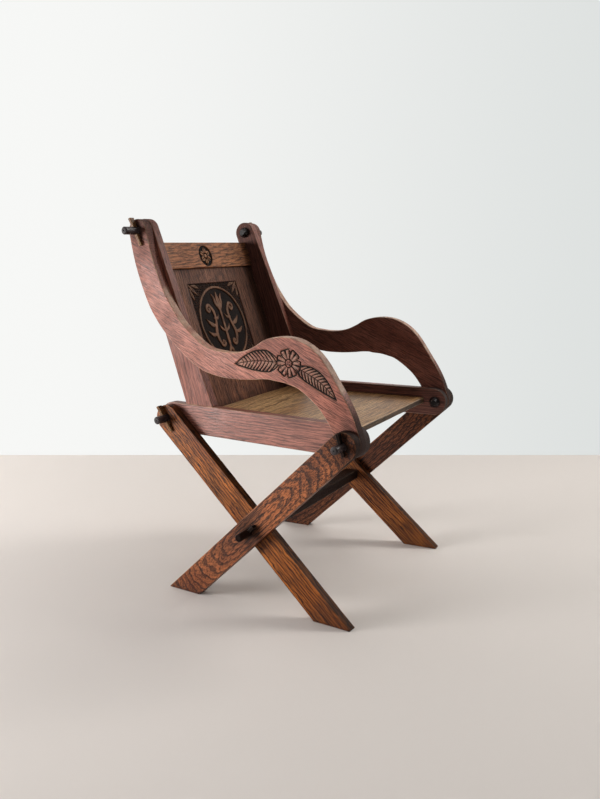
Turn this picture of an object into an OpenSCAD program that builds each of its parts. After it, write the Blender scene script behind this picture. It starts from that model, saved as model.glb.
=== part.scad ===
// Joined oak chair with crossed legs, S-shaped arms, a raked panelled back and wedged pegs.
// Millimetres, +Z up. The chair faces -Y and the sitter's left hand is on +X.
// The origin lies on the floor under the middle of the whole chair.

/* [Plan] */
// From the middle of the chair to the inner face of a side frame, above the leg crossing
half_width = 218; // [200:1:250]
// Angle by which each side frame turns in towards the back
toe_in = 3.4; // [1:0.1:5]

/* [Joints in the side frame] */
// Height of the front and rear seat joints
seat_joint_z = 400; // [380:1:430]
// Front seat joint, forward of the leg crossing
front_joint_y = 231; // [215:1:250]
// Rear seat joint, behind the leg crossing
rear_joint_y = 244; // [230:1:260]
// Height of the leg crossing
cross_z = 179; // [165:1:195]
// Height of the joint between arm and back
top_joint_z = 822; // [790:1:860]
// Joint between arm and back, behind the leg crossing
top_joint_y = 313; // [300:1:330]

/* [Legs] */
// Width of a leg board
leg_w = 61; // [54:1:70]
// Thickness of the inner leg and of the arm, which lie in the same layer
middle_t = 22; // [18:0.5:26]
// Thickness of the outer leg
outer_t = 23; // [18:0.5:28]
// Height of the small upright face that blunts the pointed corner of a foot
toe_blunt = 3; // [1:0.5:8]

/* [Seat] */
// Thickness of the seat rail and of the back stile, which lie in the same layer
inner_t = 22; // [19:0.5:26]
// Height of the seat rail board
rail_h = 68; // [60:1:76]
// How far the round front end of the rail reaches ahead of its joint
rail_nose = 28; // [24:1:32]
// Thickness of the seat board
seat_t = 15; // [12:0.5:20]
// How far the seat lies below the top of the rails
seat_drop = 25; // [15:1:32]
// Front edge of the seat, forward of the leg crossing
seat_front_y = 187; // [175:1:195]
// Rear edge of the seat, behind the leg crossing
seat_rear_y = 214; // [209:1:219]
// Depth of the groove that carries the seat in each rail
seat_groove = 8; // [5:0.5:11]

/* [Arm] */
// Half width of the arm at its front end
arm_front_half = 30; // [27:0.5:33]
// Half width of the arm at its widest, where the forearm rests
arm_rest_half = 48; // [42:0.5:54]
// Half width of the arm in the hollow behind the rest
arm_waist_half = 29; // [26:0.5:32]
// Half width of the arm at its top end
arm_top_half = 26; // [24:0.5:30]
// Height of the middle of the arm rest over the front joint
arm_rest_rise = 159; // [150:1:180]

/* [Back] */
// Front edge of the stile at the rail, behind the leg crossing
stile_foot_y = 127; // [118:1:136]
// Width of the stile at the rail
stile_foot_w = 76; // [74:1:84]
// Radius of the round ear at the top of the stile
ear_r = 27; // [26:0.5:31]
// Length of the tenon under the stile
stile_tenon_h = 20; // [12:1:26]
// Thickness of that tenon
stile_tenon_t = 8; // [6:0.5:10]
// Margin between that tenon and the edges of the stile
stile_tenon_margin = 16; // [10:1:22]
// Front face of the panel at seat level, behind the leg crossing
panel_foot_y = 198.5; // [195:0.5:199.5]
// How far that face passes behind the joint between arm and back
panel_joint_gap = 27.7; // [24:0.1:30]
// Thickness of the panel
panel_t = 7; // [5:0.5:8]
// Depth of the groove that holds the panel in the top rail
panel_tongue = 6; // [4:0.5:10]
// Depth of the housings in the stiles for the panel and the top rail
back_housing = 8; // [5:0.5:11]
// Bottom of the top rail below the joint between arm and back, measured down the lean
top_rail_drop = 94; // [90:0.5:100]
// Height of the top rail
top_rail_h = 65; // [56:1:70]
// Thickness of the top rail
top_rail_t = 16; // [14:0.5:17]
// How far the top rail stands forward of the panel
top_rail_step = 6; // [5:0.5:8]

/* [Stretcher] */
// Depth of the stretcher from front to back
stretcher_w = 36; // [26:1:40]
// Height of the stretcher
stretcher_h = 24; // [22:1:34]

/* [Pegs and wedges] */
// Diameter of the pegs and of the round tenons on the stretcher
peg_d = 17.5; // [16:0.5:20]
// Clearance on the radius between a peg and its bore
peg_clearance = 0.1; // [0.05:0.01:0.3]
// Diameter of the turned knob on the inner end of a peg
knob_d = 26; // [24:0.5:32]
// Length of that knob
knob_l = 15; // [10:0.5:18]
// Diameter of the knob's small end
knob_tip_d = 14; // [8:0.5:18]
// Length of the knob's widest band
knob_band = 5; // [3:0.5:7]
// Rounding at the edge of that band
knob_round = 1; // [0.5:0.5:3]
// How far the seat pegs stand out of the wood
seat_peg_reach = 35; // [28:1:44]
// How far the upper pegs stand out of the arm
top_peg_reach = 43; // [30:1:50]
// How far the stretcher's tenons stand out of the outer legs
stretcher_reach = 43; // [30:1:50]
// Chamfer on the outer end of a peg
peg_chamfer = 2.5; // [1:0.25:3]
// Length of the upper and the rear seat wedges
wedge_l = 65; // [56:1:72]
// Length of the front seat wedge and of the stretcher wedge
short_wedge_l = 50; // [44:1:60]
// Depth of a wedge at its driven end, out from the wood
wedge_top_depth = 14; // [11:0.5:16]
// Depth of a wedge at its tip
wedge_tip_depth = 6; // [4:0.5:9]
// Thickness of a wedge
wedge_t = 7; // [6:0.5:9]
// Clearance round a wedge in its slot and against the wood
wedge_clearance = 0.3; // [0.2:0.05:0.5]
// How far a slot starts inside the face of the wood, so that the wedge bears on the wood
slot_relief = 1; // [0.5:0.5:3]
// Height of the upper wedge's driven end over its peg, along the wedge
top_wedge_stand = 30; // [22:1:34]
// The same for the front seat wedge
front_wedge_stand = 30; // [24:1:34]
// The same for the rear seat wedge
rear_wedge_stand = 32; // [26:1:38]
// The same for the stretcher wedge
stretcher_wedge_stand = 27; // [24:1:34]
// Lean of the upper wedge towards the back
top_wedge_lean = 22; // [0:1:40]
// Lean of the front seat wedge towards the back
front_wedge_lean = 13; // [0:1:30]
// Lean of the rear seat wedge towards the back
rear_wedge_lean = 30; // [0:1:40]
// Lean of the stretcher wedge towards the front
stretcher_wedge_lean = 45; // [20:1:60]

/* [Fits] */
// Clearance between boards and their grooves, mortises and housings
joint_clearance = 0.1; // [0.05:0.05:0.3]

/* [Hidden] */
left = 1;
right = -1;

// Layers of a side frame, as distances from the middle of the chair
inner_x = half_width;
middle_x = inner_x + inner_t;
outer_x = middle_x + middle_t;
outside_x = outer_x + outer_t;

// Joints as [y, z] in the side frame
front_joint = [-front_joint_y, seat_joint_z];
rear_joint = [rear_joint_y, seat_joint_z];
cross_joint = [0, cross_z];
top_joint = [top_joint_y, top_joint_z];

rail_top = seat_joint_z + rail_h / 2;
seat_top = rail_top - seat_drop;
bore_d = peg_d + 2 * peg_clearance;
stretcher_y = outer_x * sin(toe_in);
// Length that is enough to reach right across the chair, or from its middle through a side frame
across = 2 * outside_x;

// The panel and the top rail lean back from the seat and pass behind the joint between arm and back
back_rise = top_joint_z - seat_top;
back_rake = atan2(top_joint_y + panel_joint_gap - panel_foot_y, back_rise);
top_rail_foot = back_rise / cos(back_rake) - top_rail_drop;

smooth = 64;
arc_steps = 24;
arm_steps = 4;

// Distance back from the leg crossing of a point in a side frame
function chair_y(x, y) = x * sin(toe_in) + y * cos(toe_in);

// The chair's middle from front to back, which the origin stands under
front_reach = min(
    chair_y(inner_x, -front_joint_y - rail_nose),
    chair_y(middle_x, -front_joint_y - arm_front_half),
    chair_y(outer_x, -front_joint_y - leg_w / 2)
);
rear_reach = max(chair_y(middle_x, top_joint_y + ear_r), chair_y(outer_x, top_joint_y + arm_top_half));
middle_y = (front_reach + rear_reach) / 2;

// Middle line of the arm as [y, z, half width], first seen from the front joint, then from the top joint
arm_front_line = [
    [0, 0, arm_front_half],
    [12, 35, arm_front_half - 0.5],
    [27, 63, arm_front_half + 0.5],
    [51, 95, arm_front_half + 3.5],
    [89, arm_rest_rise - 25, arm_rest_half - 5],
    [119, arm_rest_rise - 7, arm_rest_half],
    [150, arm_rest_rise, arm_rest_half],
    [185, arm_rest_rise - 2, arm_rest_half - 3.5],
    [211, arm_rest_rise - 9, arm_waist_half + 8],
    [240, arm_rest_rise - 17, arm_waist_half + 3],
    [275, arm_rest_rise - 22, arm_waist_half],
    [320, arm_rest_rise - 21, arm_waist_half - 1],
    [372, arm_rest_rise - 8, arm_waist_half - 2.5]
];
arm_top_line = [
    [-108, -224, arm_top_half],
    [-66, -175, arm_top_half + 2],
    [-41, -131, arm_top_half + 2],
    [-15, -64, arm_top_half + 1],
    [0, 0, arm_top_half]
];
arm_line = concat(
    [for (p = arm_front_line) [p[0] + front_joint[0], p[1] + front_joint[1], p[2]]],
    [for (p = arm_top_line) [p[0] + top_joint[0], p[1] + top_joint[1], p[2]]]
);

function unit(v) = v / norm(v);
function across_of(v) = [-v[1], v[0]];
function flat(p) = [p[0], p[1]];

// Smooth curve through the points, with the given number of steps between two of them
function curve_point(a, b, c, d, t) =
    0.5 * (2 * b + (c - a) * t + (2 * a - 5 * b + 4 * c - d) * t * t
        + (3 * b - a - 3 * c + d) * t * t * t);
function curve(p, steps) = concat(
    [for (i = [0 : len(p) - 2], k = [0 : steps - 1])
        curve_point(p[max(i - 1, 0)], p[i], p[i + 1], p[min(i + 2, len(p) - 1)], k / steps)],
    [p[len(p) - 1]]
);
function heading(line, i) =
    unit(flat(line[min(i + 1, len(line) - 1)] - line[max(i - 1, 0)]));
function band_edge(line, side) = [
    for (i = [0 : len(line) - 1]) flat(line[i]) + side * line[i][2] * across_of(heading(line, i))
];
function reversed(p) = [for (i = [len(p) - 1 : -1 : 0]) p[i]];
function angle_of(v) = atan2(v[1], v[0]);
function arc(centre, r, from, to) = [
    for (i = [0 : arc_steps])
        let (a = from + (to - from) * i / arc_steps) centre + r * [cos(a), sin(a)]
];

// Puts a shape that is drawn in the chair's own directions over the leg crossing
module on_chair() {
    translate([0, -middle_y, 0]) children();
}

// Turns a shape that is drawn in the side frame to the left or right hand of the chair
module to_hand(hand) {
    mirror([hand == left ? 0 : 1, 0, 0]) rotate([0, 0, toe_in]) children();
}

module on_side(hand) {
    on_chair() to_hand(hand) children();
}

// Raises a [y, z] outline into a board that lies from x to x + t
module board(x, t) {
    translate([x, 0, 0]) rotate([90, 0, 90]) linear_extrude(height = t) children();
}

// A round bar that lies across the side frame from x to x + l
module bar(joint, x, l, d) {
    translate([x, joint[0], joint[1]]) rotate([0, 90, 0]) cylinder(d = d, h = l, $fn = smooth);
}

module bore(joint) {
    bar(joint, 0, across, bore_d);
}

// Bores for the stretcher's tenons run straight across the chair, not square to the leg
module stretcher_bore() {
    rotate([0, 0, -toe_in])
        translate([0, stretcher_y, cross_z]) rotate([0, 90, 0])
            cylinder(d = bore_d, h = across, $fn = smooth);
}

// The space between the two side frames, reaching the given distance out from the middle
module between(reach) {
    edge = across;
    linear_extrude(height = top_joint_z + ear_r)
        polygon([for (c = [[1, -1], [1, 1], [-1, 1], [-1, -1]])
            [c[0] * (reach / cos(toe_in) - c[1] * edge * tan(toe_in)), c[1] * edge]]);
}

// Outline of a leg that runs from its round top through the crossing to the floor
module leg_outline(top) {
    down = unit(cross_joint - top);
    side = across_of(down) * leg_w / 2;
    points_back = down[0] > 0;
    acute = points_back ? top + side : top - side;
    blunt = points_back ? top - side : top + side;
    tip = acute - down * (acute[1] - toe_blunt) / down[1];
    heel = blunt - down * blunt[1] / down[1];
    foot = [heel, [tip[0], 0], tip];
    polygon(concat(
        arc(top, leg_w / 2, angle_of(down) + 90, angle_of(down) + 270),
        points_back ? foot : reversed(foot)
    ));
}

module leg(top, x, t) {
    difference() {
        board(x, t) leg_outline(top);
        bore(top);
        stretcher_bore();
    }
}

module arm_outline() {
    line = curve(arm_line, arm_steps);
    start = angle_of(heading(line, 0));
    end = angle_of(heading(line, len(line) - 1));
    polygon(concat(
        band_edge(line, 1),
        arc(top_joint, arm_top_half, end + 90, end - 90),
        reversed(band_edge(line, -1)),
        arc(front_joint, arm_front_half, start - 90, start - 270)
    ));
}

module arm() {
    difference() {
        board(middle_x, middle_t) arm_outline();
        bore(front_joint);
        bore(top_joint);
    }
}

// The stile tapers from the rail to its round ear, so the ear's arc ends where the edges touch it
module stile_outline() {
    foot = [stile_foot_y + stile_foot_w / 2, rail_top];
    rise = top_joint - foot;
    edge_turn = asin((stile_foot_w / 2 * cos(90 - angle_of(rise)) - ear_r) / norm(rise));
    polygon(concat(
        [[stile_foot_y + stile_foot_w, rail_top]],
        arc(top_joint, ear_r, angle_of(rise) - 90 + edge_turn, angle_of(rise) + 90 - edge_turn),
        [[stile_foot_y, rail_top]]
    ));
}

// Tenon under the stile, grown by the given clearance for its mortise
module stile_tenon(grow) {
    translate([
        inner_x + (inner_t - stile_tenon_t) / 2 - grow,
        stile_foot_y + stile_tenon_margin - grow,
        rail_top - stile_tenon_h - grow
    ])
        cube([
            stile_tenon_t + 2 * grow,
            stile_foot_w - 2 * stile_tenon_margin + 2 * grow,
            stile_tenon_h + 2 * grow
        ]);
}

// Draws in the leaning plane of the back: z runs up the lean and y = 0 is the panel's front face
module on_back() {
    translate([0, panel_foot_y, seat_top]) rotate([-back_rake, 0, 0]) children();
}

module back_board(front, t, foot, h, grow) {
    on_back()
        translate([-across / 2, front - grow, foot - grow])
            cube([across, t + 2 * grow, h + 2 * grow]);
}

module top_rail_blank(grow = 0) {
    back_board(-top_rail_step, top_rail_t, top_rail_foot, top_rail_h, grow);
}

// The panel stands on the seat, so its lower edge is cut level
module panel_blank(grow = 0) {
    intersection() {
        back_board(0, panel_t, -seat_t, seat_t + top_rail_foot + panel_tongue, grow);
        translate([-across / 2, 0, seat_top]) cube([across, across, across]);
    }
}

module stile(hand) {
    difference() {
        on_side(hand) union() {
            board(inner_x, inner_t) stile_outline();
            stile_tenon(0);
        }
        on_side(hand) bore(top_joint);
        on_chair() intersection() {
            between(inner_x + back_housing);
            union() {
                top_rail_blank(joint_clearance);
                panel_blank(joint_clearance);
            }
        }
    }
}

module rail_outline() {
    nose = [front_joint[0] + rail_h / 2 - rail_nose, seat_joint_z];
    polygon(concat(arc(rear_joint, rail_h / 2, -90, 90), arc(nose, rail_h / 2, 90, 270)));
}

// The seat board before it is cut to the taper between the rails
module seat_blank(grow = 0) {
    translate([-across / 2, -seat_front_y - grow, seat_top - seat_t - grow])
        cube([across, seat_front_y + seat_rear_y + 2 * grow, seat_t + 2 * grow]);
}

module rail(hand) {
    difference() {
        on_side(hand) board(inner_x, inner_t) rail_outline();
        on_side(hand) {
            bore(front_joint);
            bore(rear_joint);
            stile_tenon(joint_clearance);
        }
        on_chair() intersection() {
            between(inner_x + seat_groove);
            seat_blank(joint_clearance);
        }
    }
}

// Profile of a wedge in [x, z] about its peg: flat against the wood, tapering on the outer side
module wedge_profile(stand, length, grow, relief) {
    polygon([
        [-relief, stand], [-relief, stand - length],
        [wedge_tip_depth + grow, stand - length], [wedge_top_depth + grow, stand]
    ]);
}

// A wedge, or with a clearance the slot that it runs in
module wedge_at(joint, face, stand, length, lean, grow = 0) {
    translate([face + wedge_clearance, joint[0], joint[1]])
        rotate([-lean, 0, 0]) rotate([90, 0, 0])
            linear_extrude(height = wedge_t + 2 * grow, center = true)
                wedge_profile(stand, length, grow, grow > 0 ? wedge_clearance + slot_relief : 0);
}

module front_wedge(grow = 0) {
    wedge_at(front_joint, outside_x, front_wedge_stand, short_wedge_l, front_wedge_lean, grow);
}

module rear_wedge(grow = 0) {
    wedge_at(rear_joint, outer_x, rear_wedge_stand, wedge_l, rear_wedge_lean, grow);
}

module top_wedge(grow = 0) {
    wedge_at(top_joint, outer_x, top_wedge_stand, wedge_l, top_wedge_lean, grow);
}

// The tenon leaves the outer leg a little behind the crossing, because the leg is turned in
module stretcher_wedge(grow = 0) {
    tenon_shift = (outer_x - outside_x - wedge_tip_depth / 2) * tan(toe_in);
    wedge_at([tenon_shift, cross_z], outside_x, stretcher_wedge_stand, short_wedge_l,
        -stretcher_wedge_lean, grow);
}

// A round peg: knob inside the chair, shank through the boards, chamfered end outside
module peg_blank(joint, face, reach) {
    tip = face - inner_x + reach;
    translate([inner_x, joint[0], joint[1]]) rotate([0, 90, 0]) rotate_extrude($fn = smooth)
        polygon([
            [0, -knob_l], [knob_tip_d / 2, -knob_l], [knob_d / 2 - knob_round, -knob_band],
            [knob_d / 2, knob_round - knob_band], [knob_d / 2, -joint_clearance],
            [peg_d / 2, -joint_clearance],
            [peg_d / 2, tip - peg_chamfer], [peg_d / 2 - peg_chamfer, tip], [0, tip]
        ]);
}

module front_peg() {
    difference() {
        peg_blank(front_joint, outside_x, seat_peg_reach);
        front_wedge(wedge_clearance);
    }
}
module rear_peg() {
    difference() {
        peg_blank(rear_joint, outer_x, seat_peg_reach);
        rear_wedge(wedge_clearance);
    }
}
module top_peg() {
    difference() {
        peg_blank(top_joint, outer_x, top_peg_reach);
        top_wedge(wedge_clearance);
    }
}

module stretcher_tenon(hand) {
    tip = (outside_x + stretcher_reach) / cos(toe_in);
    translate([0, stretcher_y, cross_z]) rotate([0, hand * 90, 0]) rotate_extrude($fn = smooth)
        polygon([
            [0, 0], [peg_d / 2, 0], [peg_d / 2, tip - peg_chamfer],
            [peg_d / 2 - peg_chamfer, tip], [0, tip]
        ]);
}

module stretcher() {
    color("#3a2116") difference() {
        on_chair() union() {
            intersection() {
                translate([-across / 2, stretcher_y - stretcher_w / 2, cross_z - stretcher_h / 2])
                    cube([across, stretcher_w, stretcher_h]);
                between(middle_x);
            }
            stretcher_tenon(left);
            stretcher_tenon(right);
        }
        for (hand = [left, right]) on_side(hand) stretcher_wedge(wedge_clearance);
    }
}

module seat_board() {
    color("#9c7747") on_chair() intersection() {
        seat_blank();
        between(inner_x + seat_groove - joint_clearance);
    }
}

module back_top_rail() {
    color("#7d5430") on_chair() difference() {
        intersection() {
            top_rail_blank();
            between(inner_x + back_housing - joint_clearance);
        }
        panel_blank(joint_clearance);
    }
}

// The panel runs on down between the rails, so it is cut away round them
module back_panel() {
    color("#4a3020") on_chair() difference() {
        intersection() {
            panel_blank();
            between(inner_x + back_housing - joint_clearance);
        }
        for (hand = [left, right])
            to_hand(hand) board(inner_x - joint_clearance, inner_t) rail_outline();
    }
}

module seat_rail(hand) { color("#8a5a44") rail(hand); }
module back_stile(hand) { color("#8a5a44") stile(hand); }
module side_arm(hand) { color("#95604a") on_side(hand) arm(); }
module inner_leg(hand) { color("#8a5128") on_side(hand) leg(rear_joint, middle_x, middle_t); }
module outer_leg(hand) { color("#8f5630") on_side(hand) leg(front_joint, outer_x, outer_t); }
module arm_top_peg(hand) { color("#2a1a14") on_side(hand) top_peg(); }
module seat_front_peg(hand) { color("#2a1a14") on_side(hand) front_peg(); }
module seat_rear_peg(hand) { color("#2a1a14") on_side(hand) rear_peg(); }
module arm_top_wedge(hand) { color("#6b4526") on_side(hand) top_wedge(); }
module seat_front_wedge(hand) { color("#4a2c1a") on_side(hand) front_wedge(); }
module seat_rear_wedge(hand) { color("#6b4526") on_side(hand) rear_wedge(); }
module stretcher_side_wedge(hand) { color("#3a2418") on_side(hand) stretcher_wedge(); }

seat_board();
seat_rail(left);  // seat_rail_left
seat_rail(right);  // seat_rail_right
back_stile(left);  // back_stile_left
back_stile(right);  // back_stile_right
back_top_rail();
back_panel();
side_arm(left);  // arm_left
side_arm(right);  // arm_right
inner_leg(left);  // inner_leg_left
inner_leg(right);  // inner_leg_right
outer_leg(left);  // outer_leg_left
outer_leg(right);  // outer_leg_right
stretcher();
arm_top_peg(left);  // arm_top_peg_left
arm_top_peg(right);  // arm_top_peg_right
seat_front_peg(left);  // seat_front_peg_left
seat_front_peg(right);  // seat_front_peg_right
seat_rear_peg(left);  // seat_rear_peg_left
seat_rear_peg(right);  // seat_rear_peg_right
arm_top_wedge(left);  // arm_top_wedge_left
arm_top_wedge(right);  // arm_top_wedge_right
seat_front_wedge(left);  // seat_front_wedge_left
seat_front_wedge(right);  // seat_front_wedge_right
seat_rear_wedge(left);  // seat_rear_wedge_left
seat_rear_wedge(right);  // seat_rear_wedge_right
stretcher_side_wedge(left);  // stretcher_wedge_left
stretcher_side_wedge(right);  // stretcher_wedge_right
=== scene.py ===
import bpy, bmesh, math
from functools import partial
import numpy as np
from mathutils import Matrix, Vector, noise


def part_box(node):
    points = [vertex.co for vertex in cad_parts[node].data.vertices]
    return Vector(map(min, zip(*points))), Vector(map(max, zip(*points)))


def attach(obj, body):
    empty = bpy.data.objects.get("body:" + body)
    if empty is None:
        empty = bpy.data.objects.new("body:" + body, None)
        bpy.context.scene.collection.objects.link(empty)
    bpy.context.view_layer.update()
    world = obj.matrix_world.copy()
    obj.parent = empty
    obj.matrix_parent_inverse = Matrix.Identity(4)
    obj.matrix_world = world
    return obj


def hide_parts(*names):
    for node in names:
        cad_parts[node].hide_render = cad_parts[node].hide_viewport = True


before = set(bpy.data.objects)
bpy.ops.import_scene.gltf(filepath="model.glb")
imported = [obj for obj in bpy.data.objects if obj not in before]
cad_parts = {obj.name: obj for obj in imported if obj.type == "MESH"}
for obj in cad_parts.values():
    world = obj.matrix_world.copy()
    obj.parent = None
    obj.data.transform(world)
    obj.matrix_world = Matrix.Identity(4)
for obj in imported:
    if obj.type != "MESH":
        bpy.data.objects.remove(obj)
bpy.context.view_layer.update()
scene = bpy.context.scene
scene.view_settings.view_transform = "Standard"
print("frame loaded:", len(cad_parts), "solids")

# the chair's own setting out, in metres: each side frame turns in by toeIn over the leg crossing
chair = {
    "toeIn": math.radians(3.4), "crossShift": 0.0538173,
    "innerX": 0.218, "middleX": 0.240, "outerX": 0.262, "outsideX": 0.285,
    "crossing": (0.0, 0.179), "frontJoint": (-0.231, 0.400),
    "rearJoint": (0.244, 0.400), "topJoint": (0.313, 0.822),
    "seatTop": 0.409, "rake": math.atan2(0.1422, 0.413), "panelFoot": 0.1985,
}
hands = {"left": 1, "right": -1}


# camera
view = {"eye": (-1.6957, -0.9370, 0.7964), "pitch": 79.02, "turn": -61.31, "lens": 48.58}
cameraData = bpy.data.cameras.new("photoCamera")
cameraData.sensor_fit = "HORIZONTAL"
cameraData.sensor_width = 36
cameraData.lens = view["lens"]
camera = bpy.data.objects.new("photoCamera", cameraData)
camera.location = view["eye"]
camera.rotation_euler = (math.radians(view["pitch"]), 0, math.radians(view["turn"]))
scene.collection.objects.link(camera)
scene.camera = camera
print("camera placed")


def sideFrame(hand):
    # from a side frame's own directions (x out, y back, z up over the crossing) to the chair's
    c, s = math.cos(chair["toeIn"]), math.sin(chair["toeIn"])
    return Matrix(((hand * c, -hand * s, 0, 0), (s, c, 0, -chair["crossShift"]), (0, 0, 1, 0), (0, 0, 0, 1)))


def backFrame():
    # x across, y up the lean of the panel, z forward out of its face, from the panel's foot at seat level
    c, s = math.cos(chair["rake"]), math.sin(chair["rake"])
    foot = (0, chair["panelFoot"] - chair["crossShift"], chair["seatTop"])
    return Matrix(((1, 0, 0, foot[0]), (0, s, -c, foot[1]), (0, c, s, foot[2]), (0, 0, 0, 1)))


# wood
def addNode(tree, kind, place, **values):
    node = tree.nodes.new(kind)
    node.location = place
    for name, value in values.items():
        setattr(node, name, value)
    return node


def mathNode(tree, operation, place, a, b=None, clamp=False):
    node = addNode(tree, "ShaderNodeMath", place, operation=operation, use_clamp=clamp)
    for socket, value in zip(node.inputs, (a, b)):
        if value is None:
            continue
        if isinstance(value, (int, float)):
            socket.default_value = value
        else:
            tree.links.new(value, socket)
    return node.outputs[0]


def rangeNode(tree, value, place, span, result=(0.0, 1.0), **settings):
    # carries a value over from one span to another
    node = addNode(tree, "ShaderNodeMapRange", place, **settings)
    for label, limit in zip(("From Min", "From Max", "To Min", "To Max"), (*span, *result)):
        node.inputs[label].default_value = limit
    tree.links.new(value, node.inputs["Value"])
    return node.outputs[0]


def noiseNode(tree, vector, place, scale, detail, rough=0.5):
    node = addNode(tree, "ShaderNodeTexNoise", place)
    for label, value in (("Scale", scale), ("Detail", detail), ("Roughness", rough)):
        node.inputs[label].default_value = value
    tree.links.new(vector, node.inputs["Vector"])
    return node


def mixNode(tree, factor, first, second, place):
    # blends two colours, each given as a tuple or as a socket
    node = addNode(tree, "ShaderNodeMix", place, data_type="RGBA")
    tree.links.new(factor, node.inputs["Factor"])
    for label, colour in (("A", first), ("B", second)):
        if isinstance(colour, tuple):
            node.inputs[label].default_value = (*colour, 1)
        else:
            tree.links.new(colour, node.inputs[label])
    return node.outputs["Result"]


def newGroup(name, inputs, outputs):
    tree = bpy.data.node_groups.new(name, "ShaderNodeTree")
    for label, kind, value in inputs:
        socket = tree.interface.new_socket(name=label, in_out="INPUT", socket_type=kind)
        if value is not None:
            socket.default_value = value
    for label, kind in outputs:
        tree.interface.new_socket(name=label, in_out="OUTPUT", socket_type=kind)
    return tree, addNode(tree, "NodeGroupInput", (-1600, 0)), addNode(tree, "NodeGroupOutput", (1200, 0))


def makeOakFigure():
    # growth rings, pores and streaks of one plank; the attribute "grain" runs along, across and into it
    tree, given, made = newGroup("oakFigure", [
        ("Ring Pitch", "NodeSocketFloat", 0.007), ("Waviness", "NodeSocketFloat", 0.004),
        ("Ripple", "NodeSocketFloat", 0.0012), ("Ray Fleck", "NodeSocketFloat", 0.3)],
        [("Rings", "NodeSocketFloat"), ("Pores", "NodeSocketFloat"), ("Streaks", "NodeSocketFloat"),
         ("Cloud", "NodeSocketFloat"), ("Flecks", "NodeSocketFloat")])
    link = tree.links.new
    calc = partial(mathNode, tree)
    grain = addNode(tree, "ShaderNodeAttribute", (-1600, 400), attribute_name="grain").outputs["Vector"]

    def stretched(scale, place, detail=3.0, rough=0.5):
        mapping = addNode(tree, "ShaderNodeMapping", place)
        mapping.inputs["Scale"].default_value = scale
        link(grain, mapping.inputs["Vector"])
        return noiseNode(tree, mapping.outputs[0], (place[0] + 200, place[1]), 1.0, detail, rough)

    slow = stretched((16, 36, 36), (-1400, 700), 2.0)
    quick = stretched((80, 75, 75), (-1400, 400), 4.0, 0.55)
    parts = addNode(tree, "ShaderNodeSeparateXYZ", (-1000, 0))
    link(grain, parts.inputs[0])
    bend = addNode(tree, "ShaderNodeSeparateColor", (-1000, 700))
    link(slow.outputs["Color"], bend.inputs[0])
    shiver = calc("SUBTRACT", (-1000, 400), quick.outputs[0], 0.5)
    shiver = calc("MULTIPLY", (-800, 400), shiver, given.outputs["Ripple"])

    def wandering(axis, sway, height):
        # one of the two ways across the plank, bent slowly along its length
        sway = calc("SUBTRACT", (-900, height), sway, 0.5)
        sway = calc("MULTIPLY", (-800, height), sway, given.outputs["Waviness"])
        return calc("ADD", (-600, height - 400), parts.outputs[axis], sway)

    across = wandering("Y", bend.outputs[0], 600)
    inward = wandering("Z", bend.outputs[1], 800)
    squares = (calc("MULTIPLY", (-400, height), way, way) for height, way in ((200, across), (0, inward)))
    radius = calc("SQRT", (-200, 100), calc("ADD", (-300, 100), *squares))
    count = calc("DIVIDE", (0, 100), calc("ADD", (-100, 100), radius, shiver), given.outputs["Ring Pitch"])
    year = addNode(tree, "ShaderNodeValToRGB", (200, 100))
    stops = year.color_ramp.elements
    stops[0].color = stops[1].color = (0.05, 0.05, 0.05, 1)
    for position, shade in ((0.06, 1.0), (0.30, 0.92), (0.44, 0.2), (0.55, 0.1), (0.61, 0.5), (0.70, 0.0)):
        stops.new(position).color = (shade, shade, shade, 1)
    link(calc("FRACT", (100, 100), count), year.inputs[0])
    ringWidth = addNode(tree, "ShaderNodeTexNoise", (200, -150), noise_dimensions="1D")
    ringWidth.inputs["Scale"].default_value = 0.9
    ringWidth.inputs["Detail"].default_value = 1.0
    link(count, ringWidth.inputs["W"])
    strength = rangeNode(tree, ringWidth.outputs[0], (400, -150), (0.3, 0.65), (0.65, 1.0))
    fine = stretched((70, 780, 780), (-1400, -300), 3.0, 0.6)
    broken = rangeNode(tree, fine.outputs[0], (400, -400), (0.36, 0.56), (0.62, 1.1))
    rings = calc("MULTIPLY", (500, 100), year.outputs[0], strength)
    rings = calc("MULTIPLY", (600, 100), rings, broken, True)
    link(rings, made.inputs["Rings"])

    pores = rangeNode(tree, fine.outputs[0], (-900, -300), (0.55, 0.72))
    inRings = calc("ADD", (600, -300), calc("MULTIPLY", (500, -300), rings, 0.58), 0.42)
    link(calc("MULTIPLY", (700, -300), pores, inRings), made.inputs["Pores"])
    streak = stretched((13, 430, 430), (-1400, -600), 4.0, 0.7)
    link(streak.outputs[0], made.inputs["Streaks"])
    cloud = stretched((4, 14, 14), (-1400, -900), 3.0)
    link(cloud.outputs[0], made.inputs["Cloud"])
    fleck = stretched((70, 420, 90), (-1400, -1200), 1.0)
    spots = rangeNode(tree, fleck.outputs[0], (-900, -1200), (0.66, 0.74))
    link(calc("MULTIPLY", (0, -1200), spots, given.outputs["Ray Fleck"]), made.inputs["Flecks"])
    return tree


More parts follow.
